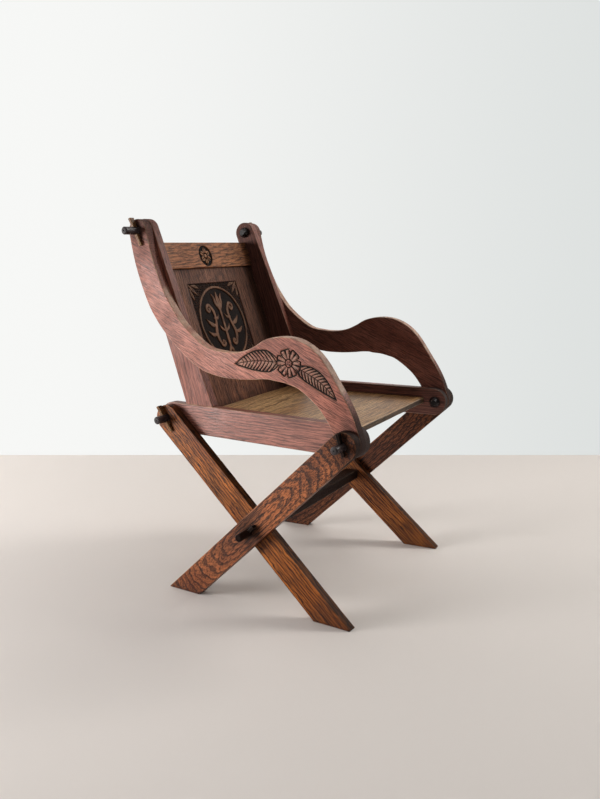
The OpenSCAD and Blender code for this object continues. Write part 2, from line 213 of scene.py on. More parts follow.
def makeOldSurface():
    # what use has done: arrises rubbed pale, dirt and old wax in the hollows, uneven polish; the same wear
    # and dirt masks also lay painted highlights and painted shade into the colour
    tree, given, made = newGroup("oldSurface", [
        ("Color", "NodeSocketColor", None), ("Rubbed And Highlight", "NodeSocketColor", None),
        ("Dirt", "NodeSocketColor", None), ("Wear", "NodeSocketFloat", 1.0),
        ("Polish", "NodeSocketFloat", 0.4)],
        [("Color", "NodeSocketColor"), ("Roughness", "NodeSocketFloat")])
    link = tree.links.new
    calc = partial(mathNode, tree)
    wearAndHighlightMask, dirtAndShadeMask = (addNode(tree, "ShaderNodeAttribute", (-1400, height), attribute_name=name).outputs["Fac"]
                   for name, height in (("wear", 300), ("dirt", -300)))
    place = addNode(tree, "ShaderNodeTexCoord", (-1600, -700)).outputs["Object"]
    patchy = noiseNode(tree, place, (-1400, 0), 55, 4)
    broken = rangeNode(tree, patchy.outputs[0], (-1200, 0), (0.36, 0.62), (0.25, 1.0))
    amount = calc("MULTIPLY", (-1000, 200), wearAndHighlightMask, broken)
    amount = calc("MULTIPLY", (-900, 200), amount, given.outputs["Wear"], True)
    rubAndHighlight = mixNode(tree, amount, given.outputs["Color"], given.outputs["Rubbed And Highlight"], (-600, 200))
    soilAndShade = mixNode(tree, dirtAndShadeMask, rubAndHighlight, given.outputs["Dirt"], (-300, 200))
    link(soilAndShade, made.inputs["Color"])
    handled = noiseNode(tree, place, (-1400, -700), 9, 5)
    uneven = calc("MULTIPLY", (-800, -500), calc("SUBTRACT", (-1000, -500), handled.outputs[0], 0.5), 0.35)
    dull = calc("ADD", (-600, -500), given.outputs["Polish"], uneven)
    dull = calc("ADD", (-300, -500), dull, calc("MULTIPLY", (-500, -300), dirtAndShadeMask, 0.45), True)
    link(dull, made.inputs["Roughness"])
    return tree


oakFigure = makeOakFigure()
oldSurface = makeOldSurface()


def makeOak(name, look):
    # ground, pale, line, rubbed and dirt are colours, the rubbed one also used for painted highlights and
    # the dirt one for painted shade; the rest sets the figure, the wear and the sheen
    material = bpy.data.materials.new(name)
    material.use_nodes = True
    tree = material.node_tree
    tree.nodes.clear()
    link = tree.links.new
    calc = partial(mathNode, tree)
    plank = addNode(tree, "ShaderNodeGroup", (-1200, 0), node_tree=oakFigure)
    boldness = {"Ring Pitch": "pitch", "Waviness": "wave", "Ripple": "ripple", "Ray Fleck": "fleck"}
    for label, value in boldness.items():
        plank.inputs[label].default_value = look[value]
    rings, pores, streaks = (plank.outputs[label] for label in ("Rings", "Pores", "Streaks"))

    cloud = rangeNode(tree, plank.outputs["Cloud"], (-950, 300), (0.35, 0.65))
    colour = mixNode(tree, cloud, look["ground"], look["pale"], (-750, 300))
    marks = (rangeNode(tree, streaks, (-950, 100), (0.44, 0.66), (0.0, look["streak"])),
             calc("MULTIPLY", (-700, 0), rings, look["ring"]),
             calc("MULTIPLY", (-700, -150), pores, look["pore"]), plank.outputs["Flecks"])
    for step, mark in enumerate(marks):
        colour = mixNode(tree, mark, colour, look["line"], (-550 + 200 * step, 250 - 50 * step))

    age = addNode(tree, "ShaderNodeGroup", (200, 100), node_tree=oldSurface)
    link(colour, age.inputs["Color"])
    age.inputs["Rubbed And Highlight"].default_value = (*look["rubbedAndHighlight"], 1)
    age.inputs["Dirt"].default_value = (*look["dirt"], 1)
    age.inputs["Wear"].default_value = look["wear"]
    age.inputs["Polish"].default_value = look["polish"]
    height = calc("ADD", (-200, -450), calc("MULTIPLY", (-400, -450), rings, -0.35),
                  calc("MULTIPLY", (-400, -600), streaks, 0.5))
    height = calc("ADD", (0, -300), calc("MULTIPLY", (-200, -300), pores, -0.6), height)
    bump = addNode(tree, "ShaderNodeBump", (200, -300))
    bump.inputs["Strength"].default_value = look["bump"]
    bump.inputs["Distance"].default_value = look["relief"]
    link(height, bump.inputs["Height"])
    shader = addNode(tree, "ShaderNodeBsdfPrincipled", (500, 100))
    link(age.outputs["Color"], shader.inputs["Base Color"])
    link(age.outputs["Roughness"], shader.inputs["Roughness"])
    link(bump.outputs["Normal"], shader.inputs["Normal"])
    shader.inputs["Coat Weight"].default_value = look["wax"]
    shader.inputs["Coat Roughness"].default_value = look["waxRough"]
    shader.inputs["Specular IOR Level"].default_value = look["gloss"]
    output = addNode(tree, "ShaderNodeOutputMaterial", (800, 100))
    link(shader.outputs[0], output.inputs["Surface"])
    return material


def camelName(slot):
    first, *rest = slot.split("_")
    return first + "".join(word.title() for word in rest)


# every oak starts from the plain look, and gives only what differs
# the dirt colour, also used as the colour of painted shade
sootAndShade = (0.009, 0.006, 0.005)
blackWax = (0.004, 0.003, 0.003)
plainLook = {
    "ground": (0.27, 0.086, 0.056), "pale": (0.36, 0.130, 0.088), "line": (0.050, 0.014, 0.009),
    "rubbedAndHighlight": (0.46, 0.30, 0.19), "dirt": sootAndShade, "pitch": 0.0075, "wave": 0.014, "ripple": 0.006,
    "ring": 0.6, "streak": 0.7, "pore": 0.6, "fleck": 0.35, "wear": 0.6, "polish": 0.42, "bump": 0.6,
    "relief": 0.0006, "wax": 0.03, "waxRough": 0.38, "gloss": 0.15,
}
looks = {
    # the rails' arrises are rubbed paler than the plain look: wear, and painted highlight along the edges
    "frame_oak": {
        "ground": (0.295, 0.096, 0.063), "pale": (0.41, 0.150, 0.102), "pitch": 0.006, "ripple": 0.0035,
        "streak": 1.1, "gloss": 0.34, "wax": 0.05, "wear": 0.8},
    "stileOak": {"pitch": 0.006, "ripple": 0.0035, "streak": 0.9, "gloss": 0.18},
    # the arm's rubbed colour is light: worn edges, and painted highlight on its top edge and carved facets
    "armOak": {
        "ground": (0.330, 0.106, 0.068), "pale": (0.51, 0.190, 0.128), "rubbedAndHighlight": (0.70, 0.52, 0.36),
        "pitch": 0.0045, "wave": 0.02, "ripple": 0.003, "ring": 0.35, "streak": 0.95, "pore": 1.4,
        "gloss": 0.20, "wax": 0.04},
    "leg_oak": {
        "ground": (0.242, 0.067, 0.025), "pale": (0.46, 0.145, 0.049), "line": (0.010, 0.004, 0.003),
        "rubbedAndHighlight": (0.42, 0.21, 0.11), "pitch": 0.0100, "wave": 0.018, "ripple": 0.009, "ring": 0.96,
        "streak": 1.3, "wear": 0.75},
    "innerLegOak": {
        "ground": (0.27, 0.073, 0.014), "pale": (0.50, 0.155, 0.026), "line": (0.012, 0.004, 0.003),
        "rubbedAndHighlight": (0.42, 0.21, 0.11), "pitch": 0.0064, "ring": 0.95, "streak": 1.2},
    "seat_oak": {
        "ground": (0.46, 0.226, 0.083), "pale": (0.72, 0.430, 0.195), "line": (0.120, 0.055, 0.022),
        "rubbedAndHighlight": (0.46, 0.32, 0.20), "ring": 0.85, "streak": 1.2, "polish": 0.40, "gloss": 0.58},
    "top_rail_oak": {
        "ground": (0.43, 0.150, 0.055), "pale": (0.60, 0.230, 0.082), "line": (0.045, 0.016, 0.006),
        "rubbedAndHighlight": (0.42, 0.27, 0.16), "pitch": 0.006, "ripple": 0.0042, "ring": 0.68, "streak": 1.15},
    "panel_oak": {
        "ground": (0.185, 0.068, 0.034), "pale": (0.325, 0.127, 0.066), "line": (0.024, 0.009, 0.005),
        "rubbedAndHighlight": (0.32, 0.18, 0.10), "pitch": 0.005, "ring": 0.62, "streak": 1.25, "gloss": 0.12},
    # near black: painted shade for the shadow under the seat, over dark oak
    "stretcher_oak": {
        "ground": (0.017, 0.008, 0.006), "pale": (0.030, 0.014, 0.010), "line": (0.007, 0.004, 0.003),
        "rubbedAndHighlight": (0.24, 0.16, 0.11), "wear": 0.30, "gloss": 0.05, "wax": 0.0},
    "peg_oak": {
        "ground": (0.013, 0.007, 0.007), "pale": (0.026, 0.014, 0.013), "line": (0.006, 0.004, 0.004),
        "rubbedAndHighlight": (0.12, 0.09, 0.09), "dirt": blackWax, "wear": 0.7, "polish": 0.25, "gloss": 0.26,
        "wax": 0.0},
    "wedge_oak": {
        "ground": (0.165, 0.072, 0.028), "pale": (0.25, 0.115, 0.045), "line": (0.035, 0.015, 0.008),
        "rubbedAndHighlight": (0.42, 0.26, 0.13), "wear": 0.9},
    "darkWedgeOak": {
        "ground": (0.010, 0.006, 0.005), "pale": (0.019, 0.010, 0.008), "line": (0.005, 0.003, 0.003),
        "rubbedAndHighlight": (0.12, 0.08, 0.06), "dirt": blackWax, "wear": 0.5, "gloss": 0.06, "wax": 0.0},
}
oaks = {slot: makeOak(camelName(slot), {**plainLook, **look}) for slot, look in looks.items()}
print("oak finishes made:", len(oaks))


# bench work shared by the boards
def unit(value):
    return min(1.0, max(0.0, value))


def blotch(spot):
    # how thick old dirt lies at a point: slow clouds with smaller ones in them
    return max(0.0, noise.noise(spot * 14) * 0.5 + noise.noise(spot * 37) * 0.3)


def solidOf(node):
    # a closed copy of a solid, with its flat faces whole again
    bm = bmesh.new()
    bm.from_mesh(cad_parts[node].data)
    for layer in ("wear", "dirt"):
        bm.verts.layers.float.new(layer)
    bmesh.ops.remove_doubles(bm, verts=bm.verts, dist=1e-6)
    bmesh.ops.dissolve_limit(bm, angle_limit=math.radians(0.4), use_dissolve_boundaries=False,
                             verts=bm.verts, edges=bm.edges)
    return bm


def roundArrises(bm, radius, segments=3, shortest=0.0022, leastAngle=24):
    # rounds the long outward edges; the short ones belong to bores, which the pegs fill
    picked, rubAndHighlight = [], bm.verts.layers.float["wear"]
    for edge in bm.edges:
        if len(edge.link_faces) != 2 or edge.calc_length() < shortest:
            continue
        if edge.calc_face_angle_signed(0) >= math.radians(leastAngle):
            picked.append(edge)
    made = bmesh.ops.bevel(bm, geom=picked, offset=radius, offset_type="OFFSET", affect="EDGES",
                           segments=segments, profile=0.5, material=-1, clamp_overlap=False, loop_slide=True)
    rounded = set(made["faces"])
    for vert in made["verts"]:
        vert[rubAndHighlight] = 1.0 if all(face in rounded for face in vert.link_faces) else 0.0


def cutAcross(bm, faces, direction, places):
    # saws faces along planes square to direction, at the given distances from the origin
    direction = Vector(direction).normalized()
    rest, done = list(faces), []
    for place in places:
        geom = set(rest)
        for face in rest:
            geom.update(face.edges)
            geom.update(face.verts)
        cut = bmesh.ops.bisect_plane(bm, geom=list(geom), dist=2e-6, plane_co=direction * place,
                                     plane_no=direction)
        pieces = ({g for g in cut["geom"] if isinstance(g, bmesh.types.BMFace)}
                  | {f for f in rest if f.is_valid})
        rest = []
        for face in pieces:
            (rest if face.calc_center_median().dot(direction) > place else done).append(face)
    return done + rest


def evenly(low, high, pitch):
    count = max(1, int(round((high - low) / pitch)))
    return [low + (high - low) * i / count for i in range(count + 1)]


def diceFlat(bm, place, pitch, least=1e-4):
    # cuts the large flat faces into cells so that dirt and painted shade can fade across them
    flat = [f for f in bm.faces if f.calc_area() > least]
    inverse = place.inverted()
    reach = [inverse @ v.co for f in flat for v in f.verts]
    for axis in (0, 1):
        direction = place.to_3x3().col[axis].normalized()
        low, high = min(p[axis] for p in reach), max(p[axis] for p in reach)
        base = place.translation.dot(direction)
        flat = cutAcross(bm, flat, direction, [base + d for d in evenly(low, high, pitch)[1:-1]])


def soilAndShadeJoints(bm, side, reach, most, near=0.009, rim=0.026, sole=0.6, soleHeight=0.014):
    # darker round the pegs, on the front ends' rims and on the soles: years of wax and dust, with painted
    # shade where the parts meet and where the feet stand on the floor
    soilAndShade = bm.verts.layers.float["dirt"]
    inverse = side.inverted()
    outward = side.to_3x3() @ Vector((1, 0, 0))
    joints = {name: Vector(chair[name]) for name in ("frontJoint", "rearJoint", "topJoint", "crossing")}
    for vert in bm.verts:
        p = inverse @ vert.co
        gaps = {name: (Vector((p.y, p.z)) - joint).length - near for name, joint in joints.items()}
        if abs(vert.normal.dot(outward)) < 0.5:
            gaps["frontJoint"] -= rim
        gap = min(gaps.values())
        soled = sole * max(0.0, 1 - p.z / soleHeight)
        vert[soilAndShade] = max(vert[soilAndShade], most * max(0.0, 1 - max(gap, 0) / reach), soled)


def shadeAndDullInside(bm, side, most, least):
    # inner faces are darker, darkest behind and a little lighter towards the front: painted shade for the
    # light the chair's other parts keep off them, over less rubbing and polish
    outward = side.to_3x3() @ Vector((1, 0, 0))
    soilAndShade = bm.verts.layers.float["dirt"]
    for vert in bm.verts:
        if vert.normal.dot(outward) < -0.6:
            vert[soilAndShade] = max(vert[soilAndShade], least + (most - least) * unit((vert.co.y + 0.15) / 0.25))


def hew(bm, place, pitch, amount, seed):
    # cuts a board into short lengths and lets its faces wander as hand tools and years leave them
    inverse = place.inverted()
    reach = [inverse @ v.co for v in bm.verts]
    for axis in (0, 1):
        low, high = min(p[axis] for p in reach), max(p[axis] for p in reach)
        direction = place.to_3x3().col[axis].normalized()
        base = place.translation.dot(direction)
        step = pitch if axis == 0 else pitch * 2
        cutAcross(bm, list(bm.faces), direction, [base + d for d in evenly(low, high, step)[1:-1]])
    rubAndHighlight = bm.verts.layers.float["wear"]
    bm.normal_update()
    for vert in bm.verts:
        p = inverse @ vert.co
        slow = noise.noise(Vector((p.x * 9, p.y * 16, p.z * 16 + seed)))
        fast = noise.noise(Vector((p.x * 60, p.y * 60, p.z * 60 + seed)))
        vert.co -= vert.normal * amount * (0.5 + 0.5 * slow + vert[rubAndHighlight] * max(0.0, fast) * 2.2)


def finishPiece(bm, name, body, replaced, place, slot, material=None, seed=0.0, pith=(0.0, 0.05),
                tilt=0.0, bow=0.0):
    # writes the plank's own directions for the grain, and hangs the piece on its body
    inverse = place.inverted()
    way = inverse.to_3x3()
    along, soilAndShade = bm.verts.layers.float_vector.new("grain"), bm.verts.layers.float["dirt"]
    endStain, softEdge = 0.75, math.radians(50)
    bm.normal_update()
    for vert in bm.verts:
        p = inverse @ vert.co
        end = unit((abs((way @ vert.normal).x) - 0.55) / 0.4)  # end grain drinks up more stain
        vert[soilAndShade] = max(vert[soilAndShade], endStain * end)
        vert[along] = (p.x + seed, p.y - pith[0], p.z - pith[1] - tilt * p.x - bow * p.x * p.x)
    for face in bm.faces:
        face.smooth = True
    for edge in bm.edges:
        edge.smooth = len(edge.link_faces) == 2 and edge.calc_face_angle(0) < softEdge
    mesh = bpy.data.meshes.new(name)
    bm.to_mesh(mesh)
    bm.free()
    piece = bpy.data.objects.new(name, mesh)
    scene.collection.objects.link(piece)
    mesh.materials.append(material or oaks[slot])
    weighted = piece.modifiers.new("evenShade", "WEIGHTED_NORMAL")
    weighted.keep_sharp = True
    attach(piece, body)
    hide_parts(*replaced)


def plankPlace(side, centre, run, face):
    # side frame matrix, a [y, z] point, a [y, z] direction and how far out the outer face lies:
    # x along, y across, z out of that face
    y, z = run
    length = math.hypot(y, z)
    y, z = y / length, z / length
    local = Matrix(((0, 0, 1, face), (y, -z, 0, centre[0]), (z, y, 0, centre[1]), (0, 0, 0, 1)))
    return side @ local


# carving
def smoothCurve(points, steps=8):
    # a flowing line through a few points
    p = np.array(points, float)
    out = []
    for i in range(len(p) - 1):
        a, b, c, d = p[max(i - 1, 0)], p[i], p[i + 1], p[min(i + 2, len(p) - 1)]
        for k in range(steps):
            t = k / steps
            out.append(0.5 * (2 * b + (c - a) * t + (2 * a - 5 * b + 4 * c - d) * t * t
                              + (3 * b - a - 3 * c + d) * t ** 3))
    return np.array(out + [p[-1]])


def strokeHeight(x, y, line, width):
    # how far inside a stroke each point lies: width may change from one end to the other
    widths = np.interp(np.linspace(0, 1, len(line)), np.linspace(0, 1, len(width)), width)
    best = np.full(x.shape, -1.0)
    for (ax, ay), (bx, by), wa, wb in zip(line[:-1], line[1:], widths[:-1], widths[1:]):
        dx, dy = bx - ax, by - ay
        t = np.clip(((x - ax) * dx + (y - ay) * dy) / max(dx * dx + dy * dy, 1e-12), 0, 1)
        best = np.maximum(best, wa + (wb - wa) * t - np.hypot(x - ax - t * dx, y - ay - t * dy))
    return best


def gouge(distance, width, depth):
    # a V cut with a rounded bottom, at the given distances from its middle line
    t = np.clip(1 - np.abs(distance) / width, 0, 1)
    return -depth * t * t * (3 - 2 * t)


def sink(cut, where, height):
    # takes a cut down to height, where it isn't as deep yet
    return np.minimum(cut, np.where(where, height, 0))


def stipple(x, y, pitch, depth):
    # small punched dents on a jittered grid
    column, row = np.floor(x / pitch), np.floor(y / pitch)
    result = np.zeros_like(x)
    for i in (-1, 0, 1):
        for j in (-1, 0, 1):
            a, b = column + i, row + j
            h = np.sin(a * 127.1 + b * 311.7) * 43758.5453
            g = np.sin(a * 269.5 + b * 183.3) * 28001.8384
            cx = (a + 0.5 + 0.5 * (h - np.floor(h) - 0.5)) * pitch
            cy = (b + 0.5 + 0.5 * (g - np.floor(g) - 0.5)) * pitch
            dent = np.clip(1 - np.hypot(x - cx, y - cy) / (pitch * 0.42), 0, 1)
            result = np.minimum(result, -depth * dent)
    return result


def carve(bm, face, place, box, pitch, pattern):
    # dices the face inside box into small tiles and sinks them by pattern(x, y), in the place's directions
    flat = place.to_3x3()
    right, upward, outward = (flat.col[i].normalized() for i in range(3))
    (x0, y0), (x1, y1) = box
    xBase, yBase = place.translation.dot(right), place.translation.dot(upward)
    inverse = place.inverted()

    def inside(faces, axis, low, high):
        return [f for f in faces if low < (inverse @ f.calc_center_median())[axis] < high]

    faces = cutAcross(bm, [face], right, [xBase + x0, xBase + x1])
    faces = inside(faces, 0, x0, x1)
    faces = cutAcross(bm, faces, upward, [yBase + y0, yBase + y1])
    faces = inside(faces, 1, y0, y1)
    faces = cutAcross(bm, faces, right, [xBase + d for d in evenly(x0, x1, pitch)[1:-1]])
    faces = cutAcross(bm, faces, upward, [yBase + d for d in evenly(y0, y1, pitch)[1:-1]])
    verts = list({v for f in faces for v in f.verts})
    local = np.array([inverse @ v.co for v in verts])
    depth, dirt, rubbedAndHighlight = pattern(local[:, 0] * 1000, local[:, 1] * 1000)
    soilAndShade, rubAndHighlight = bm.verts.layers.float["dirt"], bm.verts.layers.float["wear"]
    # the pattern's darkness is dirt and old wax in the cuts and painted shade in the recesses; its paleness
    # is wear, and on the arm painted highlight on the carved facets
    for vert, down, dark, pale in zip(verts, depth, dirt, rubbedAndHighlight):
        vert.co += outward * float(down) / 1000
        vert[soilAndShade] = max(vert[soilAndShade], float(dark))
        vert[rubAndHighlight] = max(vert[rubAndHighlight], float(pale))


def boxRound(centre, half, margin):
    # the square in metres that a carving in millimetres fills
    cx, cy = (c / 1000 for c in centre)
    reach = half / 1000 + margin
    return (cx - reach, cy - reach), (cx + reach, cy + reach)


def facing(bm, direction):
    # the largest flat face that looks along direction
    direction = Vector(direction).normalized()
    found = [f for f in bm.faces if f.normal.dot(direction) > 0.999]
    return max(found, key=lambda f: f.calc_area())


# arms
arm = {
    "arris": 0.0020, "pitch": 0.0009, "carved": ((-0.212, 0.480), (0.054, 0.586)), "cell": 0.012,
    "handled": 0.8, "handledFrom": 0.50, "handledTo": 0.70, "darkBelow": 0.85, "darkBelowFade": 0.05,
    "ear": 0.50, "earFrom": 0.735, "earFade": 0.09, "cloudy": 0.8, "soilAndShadeReach": 0.038, "jointDirtAndShade": 0.90,
    "dull": (0.62, 0.35), "grainCentre": (-0.05, 0.55), "grainRun": (1.0, 0.45), "seed": 3.1,
    "grain": {"pith": (-0.16, -0.06), "tilt": 0.05},
    "flower": (-90, 553), "flowerRadius": 30.5, "petals": 6, "outline": (2.9, 2.6),
    "leaves": [
        {"root": (-60, 553), "tip": (47, 541), "half": 23.5, "bow": 5, "widest": 0.24, "veins": 9.2},
        {"root": (-113, 544), "tip": (-204, 487), "half": 18, "bow": -7, "widest": 0.30, "veins": 8.4},
    ],
}


def leafCut(x, y, leaf):
    # one pointed leaf: a deep outline, a midrib, and slanting wedge cuts that leave lobes on each side
    root, tip = np.array(leaf["root"], float), np.array(leaf["tip"], float)
    length = np.hypot(*(tip - root))
    way = (tip - root) / length
    s = ((x - root[0]) * way[0] + (y - root[1]) * way[1]) / length
    n = (x - root[0]) * -way[1] + (y - root[1]) * way[0]
    inside = np.clip(s, 0, 1)
    n = n - leaf["bow"] * np.sin(np.pi * inside)
    peak = leaf["widest"]
    early = np.sin(np.pi / 2 * (0.30 + 0.70 * inside / peak))
    late = np.cos(np.pi / 2 * np.clip((inside - peak) / (1 - peak), 0, 1) ** 1.15)
    half = leaf["half"] * np.where(inside < peak, early, late)
    share = np.clip(np.abs(n) / np.maximum(half, 1), 0, 1)
    edge = np.abs(n) - (half - 1.0)
    beyond = np.where((s < 0) | (s > 1), np.minimum(np.abs(s), np.abs(s - 1)) * length, 0)
    edge = np.hypot(np.maximum(edge, 0), beyond) + np.minimum(edge, 0)
    body = edge < 0
    taper = np.clip((1 - inside) * 4, 0.15, 1)
    run = inside * length - np.abs(n) * (0.5 + 0.4 * share)
    off = (run / leaf["veins"] - np.round(run / leaf["veins"])) * leaf["veins"]
    vein = gouge(off, (2.1 + 3.8 * share ** 1.2) * taper, (1.9 + 0.8 * share) * taper)
    cut = sink(gouge(edge, *arm["outline"]), body, gouge(n, 1.8, 2.0) * (inside < 0.96))
    cut = sink(cut, body & (inside < 0.95), vein)
    return sink(cut, body, -0.35 - 0.4 * (1 - share))


def flowerCut(x, y):
    # petals parted by deep cuts, each with a teardrop gouged in its middle, round a boss
    cx, cy = arm["flower"]
    r, a = np.hypot(x - cx, y - cy), np.arctan2(y - cy, x - cx)
    sector = 2 * math.pi / arm["petals"]
    turned = np.mod(a + 0.35, sector) - sector / 2
    share = np.abs(turned) / (sector / 2)
    notch = np.exp(-(turned / 0.13) ** 2)
    outline = arm["flowerRadius"] * (1 - 0.26 * share ** 3 - 0.10 * notch + 0.03 * np.cos(turned * 17))
    inside = r < outline
    heart, side = np.clip((r - 9) / 15, 0, 1), np.clip((r - 15) / 6, 0, 1)
    parting = gouge(r * (sector / 2 - np.abs(turned)), 1.4 + 0.06 * r, 2.6)
    teardrop = gouge(r * turned, 1.2 + 3.0 * heart, 1.4 + 1.2 * heart)
    flank = gouge(r * (np.abs(turned) - 0.29 - 0.004 * r), 0.6 + 1.3 * side, 1.9 * side)
    bossCross = gouge(r * (np.mod(a, math.pi / 2) - math.pi / 4), 1.3, 1.5) * (r > 1.6)
    dish = -0.8 * np.clip(1 - np.abs(r - 12) / 12, 0, 1) - 0.2
    cut = sink(gouge(r - outline, *arm["outline"]), inside & (r > 8), parting)
    cut = sink(cut, inside & (r > 10), teardrop)
    cut = sink(cut, inside & (r > 15), flank)
    cut = sink(cut, inside, gouge(r - 8.6, 2.3, 2.6))
    cut = sink(cut, r < 8, bossCross)
    cut = sink(cut, inside & (r > 8), dish)
    return cut, r < outline + 2.0


def armCarving(x, y):
    flower, covered = flowerCut(x, y)
    leaves = np.minimum(*(leafCut(x, y, leaf) for leaf in arm["leaves"]))
    depth = np.where(covered, flower, np.minimum(leaves, flower))
    # the cuts are darkened with dirt and painted shade, and the whole carved leaf and flower is lightened:
    # painted highlight on its facets, with a little wear
    cut = np.clip((-depth - 0.15) / 0.2, 0, 1)
    return depth, np.maximum(np.clip((-depth - 0.8) / 0.6, 0, 1), 0.22 * cut), 0.32 * cut


def makeArm(name, hand):
    side = sideFrame(hand)
    bm = solidOf("arm_" + name)
    outward = side.to_3x3() @ Vector((1, 0, 0))
    roundArrises(bm, arm["arris"])
    place = side @ Matrix(((0, 0, 1, chair["outerX"]), (1, 0, 0, 0), (0, 1, 0, 0), (0, 0, 0, 1)))
    carve(bm, facing(bm, outward), place, arm["carved"], arm["pitch"], armCarving)
    rubAndHighlight, soilAndShade = bm.verts.layers.float["wear"], bm.verts.layers.float["dirt"]
    low, high = arm["handledFrom"], arm["handledTo"]
    bm.normal_update()
    for vert in bm.verts:
        if abs(vert.normal.dot(outward)) > 0.8:
            continue
        # in the middle of the arm the edges that look up are lightened: wear from hands, and painted
        # highlight where the window light catches them; below that the faces that don't look outward grow
        # darker towards the bottom
        if vert.normal.z > 0.2 and low < vert.co.z < high:
            vert[rubAndHighlight] = arm["handled"]
        vert[soilAndShade] = max(vert[soilAndShade], arm["darkBelow"] * unit((low - vert.co.z) / arm["darkBelowFade"]))
    diceFlat(bm, place, arm["cell"])
    soilAndShadeJoints(bm, side, arm["soilAndShadeReach"], arm["jointDirtAndShade"])
    shadeAndDullInside(bm, side, *arm["dull"])
    for vert in bm.verts:
        ear = unit((vert.co.z - arm["earFrom"]) / arm["earFade"])
        vert[soilAndShade] = max(vert[soilAndShade], arm["ear"] * ear + arm["cloudy"] * blotch(vert.co))
    grainPlace = plankPlace(side, arm["grainCentre"], arm["grainRun"], chair["outerX"])
    finishPiece(bm, "carvedArm_" + name, "frame", ["arm_" + name], grainPlace, "frame_oak", oaks["armOak"],
                seed=arm["seed"] + hand, **arm["grain"])


for name, hand in hands.items():
    makeArm(name, hand)
print("arms carved")


# legs, rails and stiles
boardWork = {"toe": 0.008, "hewnLength": 0.009, "hewnDepth": 0.0003, "jointDirtAndShade": 0.88}
frameBoards = {
    "outer_leg": {
        "piece": "outerLeg", "slot": "leg_oak", "oak": "leg_oak", "run": ("frontJoint", "crossing"),
        "face": "outsideX", "arris": 0.0020, "soilAndShadeReach": 0.048, "dull": (0.60, 0.55), "cloudy": 0.9,
        "seed": 1.3, "pith": (0.006, -0.022), "tilt": 0.30, "bow": -1.15,
        "left": {"pith": (0.034, -0.034), "tilt": 0.16, "bow": -0.55}},
    "inner_leg": {
        "piece": "innerLeg", "slot": "leg_oak", "oak": "innerLegOak", "run": ("rearJoint", "crossing"),
        "face": "outerX", "arris": 0.0018, "soilAndShadeReach": 0.016, "dull": (0.42, 0.32), "cloudy": 0.9,
        "shaded": 0.6, "seed": 5.7, "pith": (0.10, -0.05), "tilt": -0.06, "bow": 0.12},
    "seat_rail": {
        "piece": "seatRail", "slot": "frame_oak", "oak": "frame_oak", "run": ("frontJoint", "rearJoint"),
        "face": "middleX", "arris": 0.0018, "soilAndShadeReach": 0.014, "dull": (0.50, 0.42), "cloudy": 0.6,
        "seed": 7.9, "pith": (0.09, -0.04), "tilt": 0.04, "bow": 0.1},
    "back_stile": {
        "piece": "backStile", "slot": "frame_oak", "oak": "stileOak", "run": ("rearJoint", "topJoint"),
        "grainRun": (0.28, 1.0), "face": "middleX", "arris": 0.0018, "soilAndShadeReach": 0.016,
        "dull": (0.65, 0.35), "cloudy": 0.8, "seed": 9.4, "pith": (0.10, -0.05), "tilt": 0.03, "bow": 0.1},
}


def easeToes(bm, side, reach):
    # the corners of a foot are knocked off where it meets the floor
    outward = side.to_3x3() @ Vector((1, 0, 0))
    picked = []
    for edge in bm.edges:
        first, last = (v.co for v in edge.verts)
        if max(first.z, last.z) < 0.001 and abs((last - first).normalized().dot(outward)) > 0.99:
            picked.append(edge)
    bmesh.ops.bevel(bm, geom=picked, offset=reach, offset_type="OFFSET", affect="EDGES", segments=5,
                    profile=0.5, material=-1, clamp_overlap=True)


def makeFrameBoard(kind, name, hand):
    # a board's own values may differ on one side, under that side's name
    make = {**frameBoards[kind], **frameBoards[kind].get(name, {})}
    node = kind + "_" + name
    side = sideFrame(hand)
    first, last = (Vector(chair[joint]) for joint in make["run"])
    run = Vector(make.get("grainRun", last - first))
    place = plankPlace(side, (first + last) / 2, run, chair[make["face"]])
    bm = solidOf(node)
    easeToes(bm, side, boardWork["toe"])
    roundArrises(bm, make["arris"])
    hew(bm, place, boardWork["hewnLength"], boardWork["hewnDepth"], make["seed"] + hand)
    soilAndShadeJoints(bm, side, make["soilAndShadeReach"], boardWork["jointDirtAndShade"])
    shadeAndDullInside(bm, side, *make["dull"])
    soilAndShade = bm.verts.layers.float["dirt"]
    across = place.to_3x3().col[1]
    upper = across if across.z > 0 else -across
    bm.normal_update()
    for vert in bm.verts:
        vert[soilAndShade] = max(vert[soilAndShade], make["cloudy"] * blotch(vert.co))
        # painted shade: the narrow face of the inner leg that looks up lies in the shadow under the seat
        if vert.normal.dot(upper) > 0.8:
            vert[soilAndShade] = max(vert[soilAndShade], make.get("shaded", 0.0))
    finishPiece(bm, make["piece"] + "_" + name, "frame", [node], place, make["slot"], oaks[make["oak"]],
                seed=make["seed"] + hand, pith=make["pith"], tilt=make["tilt"], bow=make["bow"])


for kind in frameBoards:
    for name, hand in hands.items():
        makeFrameBoard(kind, name, hand)
print("frame boards made")


# seat and stretcher
seat = {
    "arris": 0.0035, "hewnLength": 0.02, "hewnDepth": 0.0004, "frontEdge": 0.78,
    "grain": {"seed": 12.0, "pith": (0.03, -0.11), "tilt": 0.03},
}
bm = solidOf("seat_board")
roundArrises(bm, seat["arris"], 4, 0.1)
place = Matrix.Translation((0, 0, chair["seatTop"]))
hew(bm, place, seat["hewnLength"], seat["hewnDepth"], seat["grain"]["seed"])
soilAndShade = bm.verts.layers.float["dirt"]
bm.normal_update()
# the seat's front edge is darkened: dirt, and painted shade
for vert in bm.verts:
    if vert.normal.y < -0.8:
        vert[soilAndShade] = seat["frontEdge"]
finishPiece(bm, "seatBoard", "frame", ["seat_board"], place, "seat_oak", **seat["grain"])

